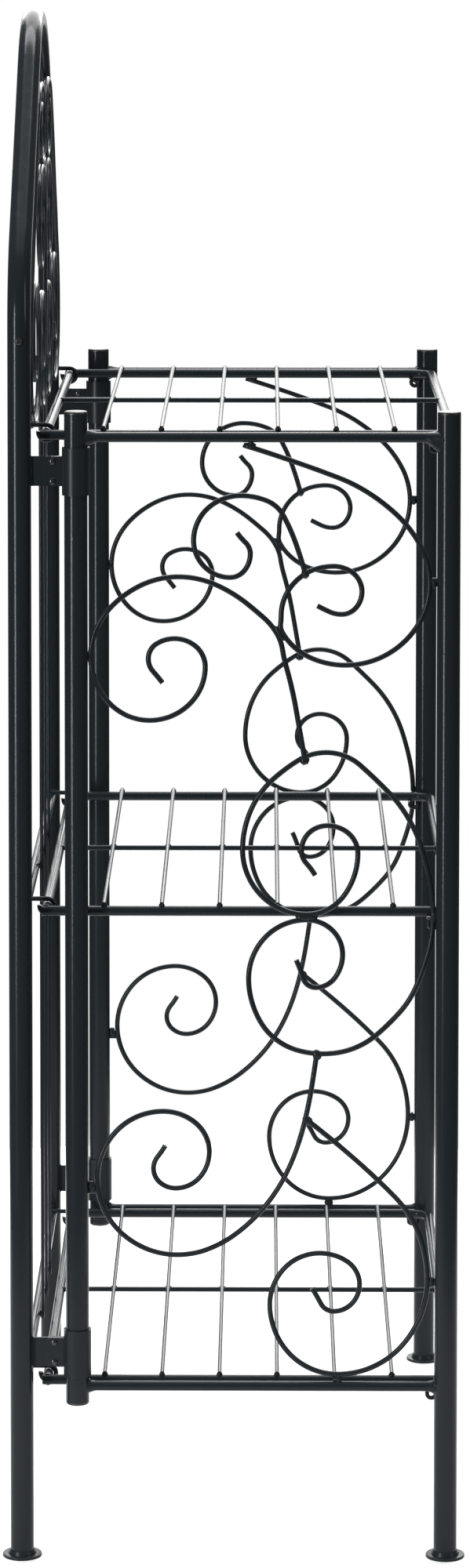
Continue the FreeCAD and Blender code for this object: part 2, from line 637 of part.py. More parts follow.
# ---------------------------------------------------------------- shelves
def build_shelf(name, z):
    """Bent rim, rear rod, spine and cross wires of one shelf."""
    rear = [Vector(x, shelf_rear_y + rod_radius, z) for x in (-shelf_half, shelf_half)]
    bend_y = shelf_front_y + SHELF_CORNER
    turn = SHELF_CORNER * (1 - math.sqrt(0.5))
    side = [Vector(x, bend_y, z) for x in (-shelf_half, shelf_half)]
    corner_x, nose_x = shelf_half - turn, shelf_half - SHELF_CORNER
    corner = [Vector(x, shelf_front_y + turn, z) for x in (-corner_x, corner_x)]
    nose = [Vector(x, shelf_front_y, z) for x in (-nose_x, nose_x)]
    edges = [
        Part.LineSegment(rear[0], side[0]).toShape(),
        Part.Arc(side[0], corner[0], nose[0]).toShape(),
        Part.LineSegment(nose[0], nose[1]).toShape(),
        Part.Arc(nose[1], corner[1], side[1]).toShape(),
        Part.LineSegment(side[1], rear[1]).toShape(),
    ]
    rim = swept(edges, rear[0], FORWARD, ROD)
    rim_seat = swept(edges, rear[0], FORWARD, ROD + 2 * WELD_GAP)
    rear_rod = cylinder(Vector(-shelf_half, shelf_rear_y, z), Vector(shelf_half, shelf_rear_y, z), ROD)
    rear_rod = coped(rear_rod, rim_seat)
    wire_z = z + rod_radius + SHELF_WIRE / 2 + WELD_GAP
    spine_z = z + rod_radius - SPINE_ROD / 2
    spine = cylinder(Vector(0, shelf_rear_y, spine_z), Vector(0, shelf_front_y, spine_z), SPINE_ROD)
    spine = coped(spine, rim, rear_rod)
    pitch = (shelf_rear_y - shelf_front_y) / (SHELF_WIRES + 1)
    wires = []
    for n in range(1, SHELF_WIRES + 1):
        y = shelf_rear_y - n * pitch
        end = shelf_half + WIRE_OVERHANG
        wires.append(cylinder(Vector(-end, y, wire_z), Vector(end, y, wire_z), SHELF_WIRE))
    save(name + "_shelf_rim", rim)
    save(name + "_shelf_rear_rod", rear_rod)
    save(name + "_shelf_spine", spine)
    save(name + "_shelf_wires", wires)


os.makedirs("parts", exist_ok=True)
build_back_frame()
build_panels()
for shelf_name, level in zip(SHELF_NAMES, shelf_levels):
    build_shelf(shelf_name, level)
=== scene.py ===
"""Looks of a folding bakers rack: coated tube, rod, wire and sheet, with the welds that join them.

Metres, in the CAD model's frame: +Z up, X across the width, front towards -Y. The CAD solids
carry the shapes of the rack; this script dresses them and adds the weld beads and screw heads.
"""

import logging
import math
from dataclasses import dataclass, field
from enum import Enum

import bmesh
import bpy
from mathutils import Matrix, Vector, noise


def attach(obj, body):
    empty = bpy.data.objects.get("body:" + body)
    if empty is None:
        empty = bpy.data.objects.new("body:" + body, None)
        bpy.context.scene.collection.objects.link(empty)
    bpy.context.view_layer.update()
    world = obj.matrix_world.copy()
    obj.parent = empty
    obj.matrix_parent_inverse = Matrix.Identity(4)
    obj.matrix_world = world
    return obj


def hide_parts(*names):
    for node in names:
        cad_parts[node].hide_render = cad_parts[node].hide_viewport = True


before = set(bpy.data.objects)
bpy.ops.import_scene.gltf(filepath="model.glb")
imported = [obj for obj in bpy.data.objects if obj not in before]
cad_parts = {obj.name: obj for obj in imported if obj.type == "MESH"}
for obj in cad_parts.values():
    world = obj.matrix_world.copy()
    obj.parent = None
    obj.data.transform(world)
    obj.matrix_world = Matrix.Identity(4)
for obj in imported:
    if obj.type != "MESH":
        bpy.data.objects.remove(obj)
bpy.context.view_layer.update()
LOG = logging.getLogger("bakers_rack")

UP = Vector((0.0, 0.0, 1.0))
EAST = Vector((1.0, 0.0, 0.0))
FORWARD = Vector((0.0, -1.0, 0.0))
FULL_TURN = 2.0 * math.pi

Place = tuple[float, float, float]      # a point, or half sizes along three directions
Colour = tuple[float, float, float, float]
Span = tuple[float, float]              # where a mask starts to rise, and where it is full
WHITE: Colour = (1.0, 1.0, 1.0, 1.0)


class Side(Enum):
    """The two sides of the rack, seen from the front; the value is the sign of X."""

    LEFT = -1
    RIGHT = 1

    @property
    def word(self) -> str:
        """The side's name as the parts' names spell it."""
        return self.name.lower()


class Level(Enum):
    """The three shelves; the value is the height of the rim's middle."""

    BOTTOM = 0.165
    MIDDLE = 0.619
    TOP = 1.073

    @property
    def word(self) -> str:
        """The level's name as the parts' names spell it."""
        return self.name.lower()


@dataclass(frozen=True)
class Stock:
    """Radii of the round stock, and the gap that welded pieces leave between them."""

    tube: float = 0.011
    rod: float = 0.00475
    scroll: float = 0.0025
    spine: float = 0.0025
    spindle: float = 0.0016
    rest: float = 0.002
    weld_gap: float = 0.0001


@dataclass(frozen=True)
class Layout:
    """Where the uprights stand."""

    half_width: float = 0.320
    front_post_y: float = -0.2015
    rear_post_y: float = 0.1485
    leg_y: float = 0.2015
    crossbar_set: float = 0.0028        # crossbars' axes, in front of the legs' axes
    foot_collar_top: float = 0.0056

    @property
    def panel_depth(self) -> float:
        """Between the axes of a panel's two posts."""
        return self.rear_post_y - self.front_post_y

    @property
    def crossbar_y(self) -> float:
        """The crossbars' axes."""
        return self.leg_y - self.crossbar_set


STOCK = Stock()
LAYOUT = Layout()


# ---------------------------------------------------------------- shader maths
class Term:
    """A socket in a sum; +, - and * with numbers or other terms add the Math nodes."""

    def __init__(self, graph: "Graph", socket: bpy.types.NodeSocket) -> None:
        """Keep the graph that the socket belongs to."""
        self.graph = graph
        self.socket = socket

    def __add__(self, other: "Term | float") -> "Term":
        """Sum."""
        return self.graph.math("ADD", self, other)

    def __radd__(self, other: float) -> "Term":
        """Sum, the number first."""
        return self.graph.math("ADD", other, self)

    def __sub__(self, other: "Term | float") -> "Term":
        """Difference."""
        return self.graph.math("SUBTRACT", self, other)

    def __rsub__(self, other: float) -> "Term":
        """Difference, the number first."""
        return self.graph.math("SUBTRACT", other, self)

    def __mul__(self, other: "Term | float") -> "Term":
        """Product."""
        return self.graph.math("MULTIPLY", self, other)

    def over(self, low: float, high: float) -> "Term":
        """A mask that climbs from 0 to 1 between two values of the term.

        Args:
            low: value where the mask starts to rise.
            high: value where the mask is full.

        Returns:
            The mask, clamped to 0..1 and eased at both ends.
        """
        settings = {"interpolation_type": "SMOOTHSTEP"}
        sockets = {"Value": self, "From Min": low, "From Max": high}
        return self.graph.term("ShaderNodeMapRange", 0, settings, sockets)


class Graph:
    """The nodes of one material or world."""

    def __init__(self, owner: bpy.types.Material | bpy.types.World) -> None:
        """Start from an empty node tree."""
        owner.use_nodes = True
        self.tree = owner.node_tree
        self.tree.nodes.clear()

    def node(
        self, kind: str, settings: dict | None = None, sockets: dict | None = None
    ) -> bpy.types.Node:
        """Add a node of any kind.

        Args:
            kind: the node's type.
            settings: its own properties; "stops" gives a ramp's positions and colours.
            sockets: a value or a Term for each input, by name or place.

        Returns:
            The new node.
        """
        made = self.tree.nodes.new(kind)
        for name, value in (settings or {}).items():
            if name == "stops":
                self._set_stops(made.color_ramp.elements, value)
            else:
                setattr(made, name, value)
        for name, value in (sockets or {}).items():
            if isinstance(value, Term):
                self.tree.links.new(value.socket, made.inputs[name])
            else:
                made.inputs[name].default_value = value
        return made

    def term(
        self,
        kind: str,
        output: int | str,
        settings: dict | None = None,
        sockets: dict | None = None,
    ) -> Term:
        """Add a node and return one of its outputs.

        Args:
            kind: the node's type.
            output: the output's name or place.
            settings: as for node().
            sockets: as for node().

        Returns:
            The output as a Term.
        """
        return Term(self, self.node(kind, settings, sockets).outputs[output])

    def math(self, operation: str, first: Term | float, second: Term | float) -> Term:
        """Add a Math node and return its result."""
        return self.term("ShaderNodeMath", 0, {"operation": operation}, {0: first, 1: second})

    def blend(self, share: Term | float, first: Term | tuple, second: Term | tuple) -> Term:
        """Mix two colours.

        Args:
            share: 0 gives the first colour and 1 the second.
            first: a colour or a Term that holds one.
            second: a colour or a Term that holds one.

        Returns:
            The mixed colour.
        """
        sockets = {0: share, 6: first, 7: second}
        return self.term("ShaderNodeMix", 2, {"data_type": "RGBA"}, sockets)

    def noise(self, place: Term, scale: float, detail: float = 2.0, rough: float = 0.5) -> Term:
        """Add cloudy noise and return its value.

        Args:
            place: the coordinates that it reads.
            scale: clouds in a metre.
            detail: octaves added to the first.
            rough: how strongly they show.

        Returns:
            The noise, about 0.5 on average.
        """
        sockets = {"Vector": place, "Scale": scale, "Detail": detail, "Roughness": rough}
        return self.term("ShaderNodeTexNoise", 0, None, sockets)

    def stretch(self, place: Term, scale: Place) -> Term:
        """Scale the coordinates by a different amount along each axis."""
        return self.term("ShaderNodeMapping", 0, None, {"Vector": place, "Scale": scale})

    def bump(self, relief: Term) -> Term:
        """Turn a relief in metres into a normal."""
        sockets = {"Strength": 1.0, "Distance": 1.0, "Height": relief}
        return self.term("ShaderNodeBump", 0, None, sockets)

    def surface(self, sockets: dict) -> None:
        """End the material in a Principled shader with these sockets."""
        shader = self.term("ShaderNodeBsdfPrincipled", 0, None, sockets)
        self.node("ShaderNodeOutputMaterial", None, {0: shader})

    @staticmethod
    def _set_stops(elements: bpy.types.ColorRampElements, stops: list[tuple[float, tuple]]) -> None:
        """Give a ramp its stops in order."""
        while len(elements) < len(stops):
            elements.new(1.0)
        for element, (position, colour) in zip(elements, stops):
            element.position = position
            element.color = colour


# ---------------------------------------------------------------- finishes

@dataclass(frozen=True)
class PowderCoat:
    """Baked black powder coat: glossy, with a fine orange peel, a few nibs and thin dust on top."""

    name: str
    colour: Colour = (0.0120, 0.0162, 0.0195, 1.0)
    thin_colour: Colour = (0.021, 0.026, 0.030, 1.0)   # where the coat is thin or rubbed
    dust_colour: Colour = (0.060, 0.060, 0.063, 1.0)
    roughness: float = 0.19
    specular: float = 0.14          # strength of the coat's own reflection
    peel_pitch: float = 0.0016      # between the bumps of the orange peel
    peel_depth: float = 0.000022
    dust: float = 0.20              # share of dust on faces that look up
    rubbed: float = 0.25            # share of rubbed streaks
    nib_pitch: float = 0.016        # between specks of grit under the coat
    nib_depth: float = 0.00005
    nib_mask: Span = (0.02, 0.075)
    cloud_scale: float = 14.0       # clouds of uneven gloss in a metre
    cloud_mask: Span = (0.38, 0.72)
    streak_scale: Place = (260.0, 260.0, 34.0)
    streak_mask: Span = (0.62, 0.80)
    dust_scale: float = 85.0        # clouds of dust in a metre
    dust_mask: Span = (0.42, 0.78)
    upward: Span = (0.35, 0.95)     # height of a normal that dust lies on
    cloud_roughness: float = 0.10
    rubbed_roughness: float = 0.22
    dust_roughness: float = 0.35
    wave_count: float = 0.22        # long waves in the pitch of the orange peel
    wave_depth: float = 2.2         # in depths of the orange peel
    rubbed_depth: float = 0.6       # in depths of the orange peel
    refraction: float = 1.52

    def make(self) -> bpy.types.Material:
        """Build the finish as a material."""
        material = bpy.data.materials.new(self.name)
        graph = Graph(material)
        coordinates = graph.node("ShaderNodeTexCoord")
        place = Term(graph, coordinates.outputs["Object"])
        facing = Term(graph, coordinates.outputs["Normal"])

        clouds = graph.noise(place, self.cloud_scale, 3.0)
        streaks = graph.noise(graph.stretch(place, self.streak_scale), 1.0, 4.0, 0.62)
        rubbed = streaks.over(*self.streak_mask) * clouds.over(*self.cloud_mask) * self.rubbed
        height = graph.term("ShaderNodeSeparateXYZ", 2, None, {0: facing})
        dust_clouds = graph.noise(place, self.dust_scale, 5.0, 0.7)
        dust = height.over(*self.upward) * dust_clouds.over(*self.dust_mask) * self.dust

        colour = graph.blend(rubbed, self.colour, self.thin_colour)
        colour = graph.blend(dust, colour, self.dust_colour)
        roughness = self.roughness + (clouds - 0.5) * self.cloud_roughness
        roughness = roughness + rubbed * self.rubbed_roughness + dust * self.dust_roughness

        peel = graph.noise(place, 1.0 / self.peel_pitch, 1.5, 0.45)
        waves = graph.noise(place, self.wave_count / self.peel_pitch, 1.0)
        sockets = {"Vector": place, "Scale": 1.0 / self.nib_pitch}
        specks = graph.term("ShaderNodeTexVoronoi", 0, None, sockets)
        nibs = 1.0 - specks.over(*self.nib_mask)
        relief = peel * self.peel_depth + waves * (self.wave_depth * self.peel_depth)
        relief = relief + nibs * self.nib_depth + rubbed * (-self.rubbed_depth * self.peel_depth)

        graph.surface(
            {
                "Base Color": colour,
                "Roughness": roughness,
                "IOR": self.refraction,
                "Specular IOR Level": self.specular,
                "Normal": graph.bump(relief),
            }
        )
        return material


@dataclass(frozen=True)
class MouldedPlastic:
    """Black moulded plastic with a fine spark-eroded grain and a faint flow pattern."""

    name: str
    colour: Colour = (0.010, 0.010, 0.011, 1.0)
    pale_colour: Colour = (0.022, 0.022, 0.024, 1.0)
    roughness: float = 0.38
    grain_pitch: float = 0.0007
    grain_depth: float = 0.000018
    flow_scale: Place = (90.0, 90.0, 30.0)
    flow_mask: Span = (0.35, 0.75)
    flow_share: float = 0.6         # of the pale colour, where the flow shows most
    flow_roughness: float = 0.12
    scratch_scale: Place = (700.0, 60.0, 300.0)
    scratch_mask: Span = (0.66, 0.74)
    scratch_roughness: float = 0.15
    refraction: float = 1.49

    def make(self) -> bpy.types.Material:
        """Build the finish as a material."""
        material = bpy.data.materials.new(self.name)
        graph = Graph(material)
        place = graph.term("ShaderNodeTexCoord", "Object")
        flow = graph.noise(graph.stretch(place, self.flow_scale), 1.0, 3.0)
        grain = graph.noise(place, 1.0 / self.grain_pitch, 3.0, 0.6)
        scratches = graph.noise(graph.stretch(place, self.scratch_scale), 1.0, 2.0)
        share = flow.over(*self.flow_mask) * self.flow_share
        marks = scratches.over(*self.scratch_mask) * self.scratch_roughness
        graph.surface(
            {
                "Base Color": graph.blend(share, self.colour, self.pale_colour),
                "Roughness": self.roughness + (flow - 0.5) * self.flow_roughness + marks,
                "IOR": self.refraction,
                "Normal": graph.bump(grain * self.grain_depth),
            }
        )
        return material


@dataclass(frozen=True)
class MattPaint:
    """Pale, matt painted surface for the floor."""

    name: str
    colour: Colour = (0.80, 0.80, 0.80, 1.0)
    deeper_colour: Colour = (0.785, 0.785, 0.785, 1.0)
    roughness: float = 0.85
    specular: float = 0.0
    cloud_scale: float = 1.3
    cloud_mask: Span = (0.3, 0.7)

    def make(self) -> bpy.types.Material:
        """Build the finish as a material."""
        material = bpy.data.materials.new(self.name)
        graph = Graph(material)
        place = graph.term("ShaderNodeTexCoord", "Object")
        clouds = graph.noise(place, self.cloud_scale, 4.0)
        share = clouds.over(*self.cloud_mask)
        graph.surface(
            {
                "Base Color": graph.blend(share, self.colour, self.deeper_colour),
                "Roughness": self.roughness,
                "Specular IOR Level": self.specular,
            }
        )
        return material


class Finishes:
    """The rack's finishes, each made once."""

    def __init__(self) -> None:
        """Make every material of the rack."""
        self.tube = PowderCoat("tube_powder_coat").make()
        self.rod = PowderCoat(
            "rod_powder_coat", peel_pitch=0.0013, peel_depth=0.000018, dust=0.08
        ).make()
        self.wire = PowderCoat(
            "wire_powder_coat", peel_pitch=0.0010, peel_depth=0.000005, dust=0.05
        ).make()
        self.foot = PowderCoat("foot_powder_coat", roughness=0.30, rubbed=0.7, dust=0.4).make()
        self.sheet = PowderCoat(
            "sheet_powder_coat", roughness=0.31, rubbed=0.6, peel_pitch=0.0020
        ).make()
        self.weld = PowderCoat(
            "weld_powder_coat", roughness=0.24, peel_pitch=0.0026, peel_depth=0.00006
        ).make()
        self.fastener = PowderCoat(
            "fastener_black",
            colour=(0.0110, 0.0140, 0.0165, 1.0),
            roughness=0.24,
            specular=0.5,
            rubbed=0.5,
        ).make()
        self.cap = MouldedPlastic("black_cap_plastic").make()


# ---------------------------------------------------------------- weld beads
BEAD_STEP = 7.3                 # shift of the noise from one bead to the next
LUMP_DETAIL = 3                 # subdivisions of a lump
LUMP_SWIRL = 1.6                # noise across a lump
LUMP_OVERLAP = 0.95             # half length of a row's lumps, in pitches
RING_SIDES = 10                 # of a ring's section
RING_STEPS = 48                 # round a ring
RING_SWIRL = 0.5                # noise across half a ring's width
RING_RIPPLE = 1.6               # depth of a ring's ripples, against a lump's
FLARE_RINGS = 16
FLARE_SIDES = 44
FLARE_SWIRL = 1.7               # noise round a flare
FLARE_RUN_SWIRL = 2.4           # noise along a flare
FLARE_RIPPLE = 2.0              # depth of a flare's ripples, against a lump's
FLARE_SINK = 0.0001             # of its thin end, into the rod
FLARE_BITE = 0.0003             # of its wide end, into the tube
MERGE_DISTANCE = 0.00001
FOOT_BEAD = 0.0009              # half width of the bead on a foot's collar
ROW_PITCH = 0.0028              # between the lumps of a row
ROW_INSET = 0.002               # from the end of a seam to the middle of the first lump


@dataclass
class Beads:
    """A mesh of weld beads that all ride on one body."""

    name: str
    ripple: float = 0.14            # depth of the ripples, as a share of the bead
    mesh: bmesh.types.BMesh = field(default_factory=bmesh.new)
    count: int = 0

    def lump(self, centre: Vector, along: Vector, across: Vector, size: Place) -> None:
        """Add one lump of weld metal.

        Args:
            centre: its middle.
            along: direction of its first half size.
            across: direction of its second half size, square to the first.
            size: half sizes along, across, and square to both.
        """
        along = along.normalized()
        across = (across - along * across.dot(along)).normalized()
        turn = Matrix((along, across, along.cross(across))).transposed().to_4x4()
        place = Matrix.Translation(centre) @ turn @ Matrix.Diagonal((*size, 1.0))
        made = bmesh.ops.create_icosphere(self.mesh, subdivisions=LUMP_DETAIL, radius=1.0)
        self.count += 1
        for vert in made["verts"]:
            swirl = noise.noise(vert.co * LUMP_SWIRL + Vector((BEAD_STEP * self.count, 0.0, 0.0)))
            vert.co = place @ (vert.co * (1.0 + self.ripple * swirl))

    def row(self, start: Vector, end: Vector, side: Vector, radius: float, pitch: float) -> None:
        """Add a straight bead as a row of overlapping lumps.

        Args:
            start: middle of the first lump.
            end: middle of the last lump.
            side: a direction square to the row.
            radius: half the bead's width.
            pitch: largest step from lump to lump.
        """
        run = end - start
        steps = max(1, math.ceil(run.length / pitch))
        for n in range(steps + 1):
            size = (pitch * LUMP_OVERLAP, radius, radius)
            self.lump(start + run * (n / steps), run, side, size)

    def ring(
        self,
        root: Vector,
        out: Vector,
        axis: Vector,
        rod: float,
        tube: float,
        width: float,
        offset: float = 0.0,
    ) -> None:
        """Add the bead round a rod that meets a tube square on, lying in the saddle between them.

        Args:
            root: point of the tube's skin that faces the rod.
            out: direction of the rod, away from the tube.
            axis: direction of the tube.
            rod: the rod's radius.
            tube: the tube's radius; 0 stands for a flat face.
            width: half the bead's width.
            offset: how far the rod's axis passes the tube's, along axis x out.
        """
        side = axis.cross(out).normalized()
        middle = root + side * offset
        turn = Matrix((axis, out, side)).transposed().to_4x4()
        section = Matrix.Translation(middle + axis * rod) @ turn
        made = bmesh.ops.create_circle(self.mesh, segments=RING_SIDES, radius=width, matrix=section)
        edges = {edge for vert in made["verts"] for edge in vert.link_edges}
        before = set(self.mesh.verts) - set(made["verts"])
        bmesh.ops.spin(
            self.mesh,
            geom=[*made["verts"], *edges],
            cent=middle,
            axis=out,
            angle=FULL_TURN,
            steps=RING_STEPS,
            use_merge=True,
        )
        self.count += 1
        for vert in self.mesh.verts:
            if vert in before:
                continue
            spoke = vert.co - middle
            aside, ahead = spoke.dot(side), spoke.dot(axis)
            core = middle + (side * aside + axis * ahead).normalized() * rod
            spot = Vector((aside, ahead, 0.0)) * (RING_SWIRL / width)
            swirl = noise.noise(spot + UP * self.count)
            vert.co = core + (vert.co - core) * (1.0 + RING_RIPPLE * self.ripple * swirl)
            if tube > 0.0:
                vert.co -= out * saddle_depth(tube, aside + offset)

    def flare(self, root: Vector, out: Vector, rod: float, tube: float, fillet: "Fillet") -> None:
        """Add a fillet that widens from a level rod to the upright tube it meets.

        Args:
            root: point of the tube's skin that faces the rod.
            out: direction of the rod, away from the tube.
            rod: the rod's radius.
            tube: the tube's radius.
            fillet: how far it reaches.
        """
        side = UP.cross(out).normalized()
        made = bmesh.ops.create_grid(
            self.mesh, x_segments=FLARE_RINGS, y_segments=FLARE_SIDES, size=1.0
        )
        self.count += 1
        for vert in made["verts"]:
            share = 1.0 - (vert.co.x + 1.0) / 2.0
            angle = math.pi * (vert.co.y + 1.0)
            spoke = UP * math.cos(angle) + side * math.sin(angle)
            stand = (fillet.over * (1.0 + spoke.z) + fillet.under * (1.0 - spoke.z)) / 2.0
            rise = FLARE_RUN_SWIRL * share + BEAD_STEP * self.count
            swirl = noise.noise(spoke * FLARE_SWIRL + UP * rise)
            bulge = 1.0 + FLARE_RIPPLE * self.ripple * swirl
            radius = rod - FLARE_SINK + stand * share ** fillet.hollow * bulge
            saddle = saddle_depth(tube, radius * math.sin(angle))
            run = fillet.reach * (1.0 - share) - (saddle + FLARE_BITE) * share
            vert.co = root + out * run + spoke * radius
        bmesh.ops.remove_doubles(self.mesh, verts=made["verts"], dist=MERGE_DISTANCE)

    def finish(self, body: str, material: bpy.types.Material) -> bpy.types.Object:
        """Close the mesh and hang it on its body.

        Args:
            body: the CAD body it moves with.
            material: its finish.

        Returns:
            The new object.
        """
        bmesh.ops.recalc_face_normals(self.mesh, faces=self.mesh.faces)
        return place_piece(self.name, self.mesh, body, material)


def saddle_depth(tube: float, aside: float) -> float:
    """How far a tube's skin falls back at a distance from its middle line."""
    return tube - math.sqrt(max(0.0, tube ** 2 - aside ** 2))


def place_piece(
    name: str, shape: bmesh.types.BMesh, body: str, material: bpy.types.Material
) -> bpy.types.Object:
    """Turn a bmesh into a smooth piece that rides on a body.

    Args:
        name: the piece's name.
        shape: its mesh, already in place; it is freed.
        body: the CAD body it moves with.
        material: its finish.

    Returns:
        The new object.
    """
    mesh = bpy.data.meshes.new(name)
    for face in shape.faces:
        face.smooth = True
    shape.to_mesh(mesh)
    shape.free()
    mesh.materials.append(material)
    piece = bpy.data.objects.new(name, mesh)
    bpy.context.scene.collection.objects.link(piece)
    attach(piece, body)
    LOG.info("piece %s rides on %s, %d faces", name, body, len(mesh.polygons))
    return piece


def dress(nodes: list[str], material: bpy.types.Material) -> None:
    """Give CAD nodes a finish.

    Args:
        nodes: names of the nodes.
        material: the finish for all their slots.
    """
    for node in nodes:
        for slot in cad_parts[node].material_slots:
            slot.link = "OBJECT"
            slot.material = material
        LOG.info("node %s has %s", node, material.name)


# ---------------------------------------------------------------- back frame
@dataclass
class BackFrame:
    """Legs, arch, crossbars and the scrolls of the arch."""

    finishes: Finishes
    body: str = "back_frame"
    crossbar_bead: float = 0.0019
    crossbar_lump: Place = (0.0045, 0.0030, 0.0016)
    crossbar_touches: tuple[float, ...] = (0.694, 0.188)     # shares of the half width
    spindle_lump: Place = (0.0030, 0.0013, 0.0013)
    eye_lump: Place = (0.0040, 0.0036, 0.0019)
    spindle_spacing: float = 0.080
    eye_inset: float = 0.040
    arch_rise: float = 0.385            # from the top crossbar to the arch's axis at its crown
    spring_rise: float = 0.098
    shoulder_bend: float = 0.120
    crown_bend: float = 0.157
    flank_touch: float = 0.78           # share of the flank
    flank_sink: float = 0.93            # of its lump, in radii of the tube
    flank_lump: Place = (0.0060, 0.0028, 0.0028)
    leg_touch: float = 0.070            # above the top crossbar
    strap_rise: float = 0.033
    strap_drop: float = 0.032
    lug_height: float = 0.028
    lug_seam: float = 0.0018            # from the lug's middle to the beads on its sides
    lug_bead: float = 0.0013
    lug_sink: float = 0.0004            # of its beads, into the leg
    screw_height: float = 1.164
    screw_head: float = 0.0035          # radius
    screw_dome: float = 0.0018
    screw_skirt: float = 0.0006         # of the head, into the arch
    screw_grid: int = 28
    rim_drop: float = 0.94              # 1 would bring the dome's rim down to the seat
    recess_depth: float = 0.0011
    recess_width: float = 0.13          # half, in radii of the head
    recess_reach: float = 0.58          # in radii of the head
    recess_slope: float = 0.6

    def build(self) -> None:
        """Dress the frame's nodes and add its welds and screw heads."""
        self.dress_nodes()
        self.crossbar_welds()
        self.spindle_welds()
        self.arch_scroll_welds()
        self.hinge_welds()
        self.foot_welds()
        self.screw_heads()

    def dress_nodes(self) -> None:
        """Give each node of the frame its finish."""
        finishes = self.finishes
        dress(["left_back_leg", "right_back_leg", "back_arch"], finishes.tube)
        dress([level.word + "_crossbar" for level in Level] + ["hinge_eyes"], finishes.rod)
        dress(["back_spindles", "outer_arch_scrolls", "inner_arch_scrolls"], finishes.wire)
        dress(["hinge_lugs", "left_hinge_straps", "right_hinge_straps"], finishes.sheet)
        dress(["hinge_rivets", "arch_screws"], finishes.fastener)
        dress(["back_feet"], finishes.foot)

    def crossbar_welds(self) -> None:
        """Beads where the crossbars meet the legs."""
        beads = Beads("crossbar_welds")
        for level in Level:
            for side in Side:
                x = side.value * (LAYOUT.half_width - STOCK.tube)
                root, out = Vector((x, LAYOUT.leg_y, level.value)), EAST * -side.value
                offset = side.value * LAYOUT.crossbar_set
                beads.ring(root, out, UP, STOCK.rod, STOCK.tube, self.crossbar_bead, offset)
        beads.finish(self.body, self.finishes.weld)

    def spindle_welds(self) -> None:
        """Small lumps where the upright wires and the hinge eyes lie on the crossbars."""
        beads = Beads("spindle_and_eye_welds")
        spindle_y = LAYOUT.crossbar_y - STOCK.rod
        eye_x = LAYOUT.half_width - self.eye_inset
        for level in Level:
            for x in (-self.spindle_spacing, 0.0, self.spindle_spacing):
                for side in Side:
                    centre = Vector((x + side.value * STOCK.spindle, spindle_y, level.value))
                    beads.lump(centre, UP, EAST, self.spindle_lump)
            for x in (-eye_x, eye_x):
                centre = Vector((x, LAYOUT.crossbar_y, level.value + STOCK.rod))
                beads.lump(centre, FORWARD, EAST, self.eye_lump)
        beads.finish(self.body, self.finishes.weld)

    def scroll_spot(self, across: float, up: float) -> Vector:
        """Point among the arch's scrolls.

        Args:
            across: share of the way from the middle to the inside of the right leg.
            up: share of the way from the top crossbar to the crown.

        Returns:
            The point on the plane of the scrolls.
        """
        plane = LAYOUT.crossbar_set + STOCK.rod + STOCK.scroll + STOCK.weld_gap
        touch = STOCK.tube + STOCK.scroll + STOCK.weld_gap
        inside = LAYOUT.half_width - math.sqrt(touch ** 2 - plane ** 2)
        middle = STOCK.scroll + STOCK.weld_gap / 2
        x = middle + across * (inside - middle)
        return Vector((x, LAYOUT.leg_y - plane, Level.TOP.value + up * self.arch_rise))

    def flank(self) -> tuple[Vector, Vector, Vector]:
        """Lower end, upper end and outward direction of the arch's right flank."""
        bar = Level.TOP.value
        shoulder = Vector((LAYOUT.half_width - self.shoulder_bend, 0.0, bar + self.spring_rise))
        crown = Vector((0.0, 0.0, bar + self.arch_rise - self.crown_bend))
        run, drop = shoulder.x, crown.z - shoulder.z
        tighter = (self.crown_bend - self.shoulder_bend) / math.hypot(run, drop)
        slope = math.atan2(drop, run) + math.asin(tighter)
        out = Vector((math.sin(slope), 0.0, math.cos(slope)))
        return shoulder + out * self.shoulder_bend, crown + out * self.crown_bend, out

    def arch_scroll_welds(self) -> None:
        """Lumps where the arch's scrolls meet each other, the top crossbar and the arch."""
        beads = Beads("arch_scroll_welds")
        low, top, out = self.flank()
        climb = (top - low).normalized()
        on_flank = low + (top - low) * self.flank_touch - out * STOCK.tube * self.flank_sink
        bar_y = LAYOUT.crossbar_y - STOCK.rod
        on_flank.y = bar_y
        leg_x, leg_z = LAYOUT.half_width - STOCK.tube, Level.TOP.value + self.leg_touch
        spots = [
            (self.scroll_spot(0.0, 0.22) - EAST * STOCK.scroll, UP, (0.0060, 0.0026, 0.0022)),
            (self.scroll_spot(0.0, 0.45) - EAST * STOCK.scroll, UP, (0.0055, 0.0026, 0.0022)),
            (self.scroll_spot(0.190, 0.632), EAST, (0.0055, 0.0027, 0.0022)),
            (self.scroll_spot(0.4125, 0.172), UP, (0.0060, 0.0027, 0.0022)),
            (Vector((leg_x, bar_y, leg_z)), UP, self.flank_lump),
            (on_flank, climb, self.flank_lump),
        ]
        for centre, along, size in spots:
            for side in Side:
                mirror = Vector((side.value, 1.0, 1.0))
                beads.lump(centre * mirror, along * mirror, FORWARD.cross(along * mirror), size)
        for across in self.crossbar_touches:
            for side in Side:
                centre = self.scroll_spot(across, 0.0) * Vector((side.value, 1.0, 1.0))
                centre.y = bar_y
                beads.lump(centre, EAST, UP, self.crossbar_lump)
        beads.finish(self.body, self.finishes.weld)

    def hinge_welds(self) -> None:
        """Beads down both sides of the hinge lugs, on the legs."""
        beads = Beads("hinge_lug_welds")
        front = LAYOUT.leg_y - STOCK.tube + self.lug_sink
        for z in (Level.BOTTOM.value + self.strap_rise, Level.TOP.value - self.strap_drop):
            for side in Side:
                for edge in (-self.lug_seam, self.lug_seam):
                    x = side.value * LAYOUT.half_width + edge
                    start = Vector((x, front, z - self.lug_height / 2 + ROW_INSET))
                    end = Vector((x, front, z + self.lug_height / 2 - ROW_INSET))
                    beads.row(start, end, EAST, self.lug_bead, ROW_PITCH)
        beads.finish(self.body, self.finishes.weld)

